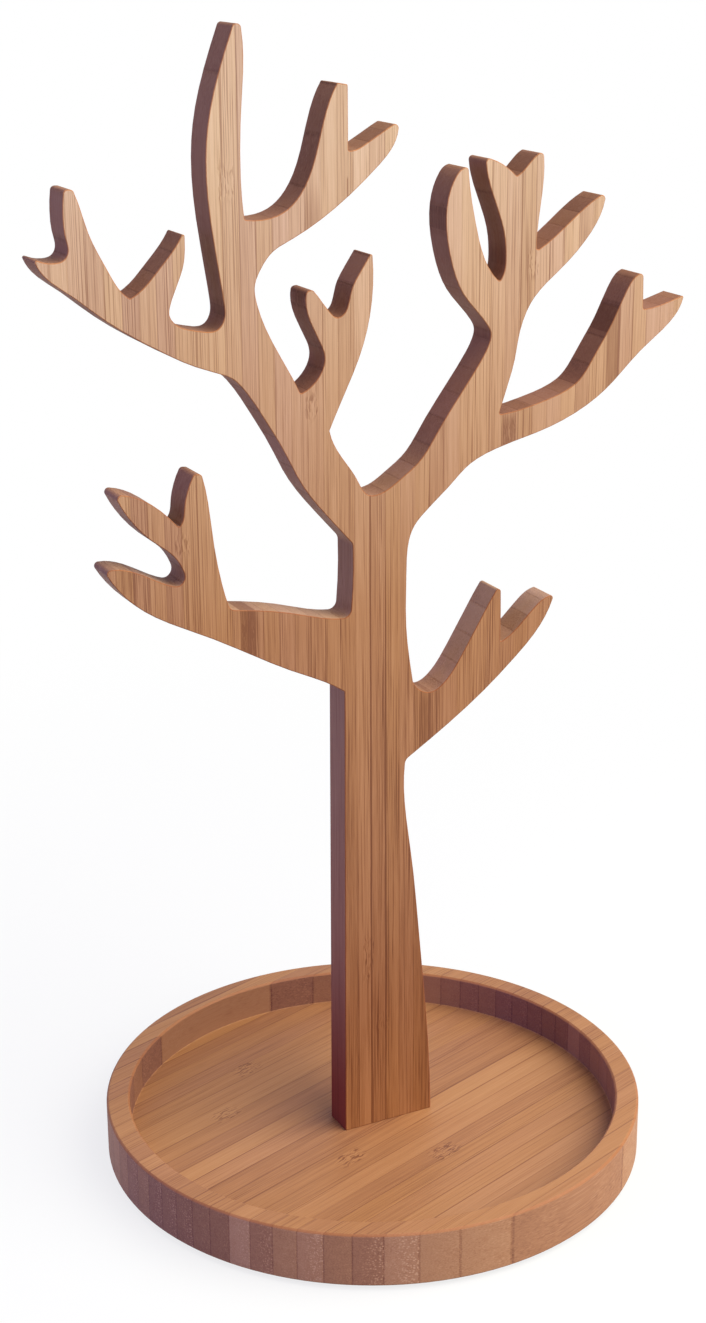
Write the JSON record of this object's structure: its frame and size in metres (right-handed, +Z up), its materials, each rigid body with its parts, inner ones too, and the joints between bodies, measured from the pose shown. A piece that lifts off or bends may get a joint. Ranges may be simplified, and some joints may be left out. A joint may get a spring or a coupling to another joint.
{
  "type": "jewellery tree stand",
  "caption": "Flat wooden tree with bare forked branches for hanging jewellery, standing on edge in a shallow round tray with a raised rim.",
  "frame": {"origin": "on the table top under the tray's axis, in the plane of the four pads' undersides; the tree reaches about 4 mm further to the right than to the left, so the middle of the whole box lies 2 mm beside the axis", "axes": "+Z up, -Y out of the tree's broad front face, +X to the right as seen from the front"},
  "size_m": [0.2053, 0.17, 0.3486],
  "materials": {
    "bamboo_board": "satin clear varnish on carbonised bamboo",
    "bamboo_tray": "satin clear varnish on carbonised bamboo",
    "screw_steel": "bright zinc plate",
    "felt": "dark felt"
  },
  "bodies": {
    "root": {"bamboo_tree": "bamboo_board", "tray": "bamboo_tray", "left_screw": "screw_steel", "right_screw": "screw_steel", "felt_pad_1": "felt", "felt_pad_2": "felt", "felt_pad_3": "felt", "felt_pad_4": "felt"}
  },
  "joints": []
}
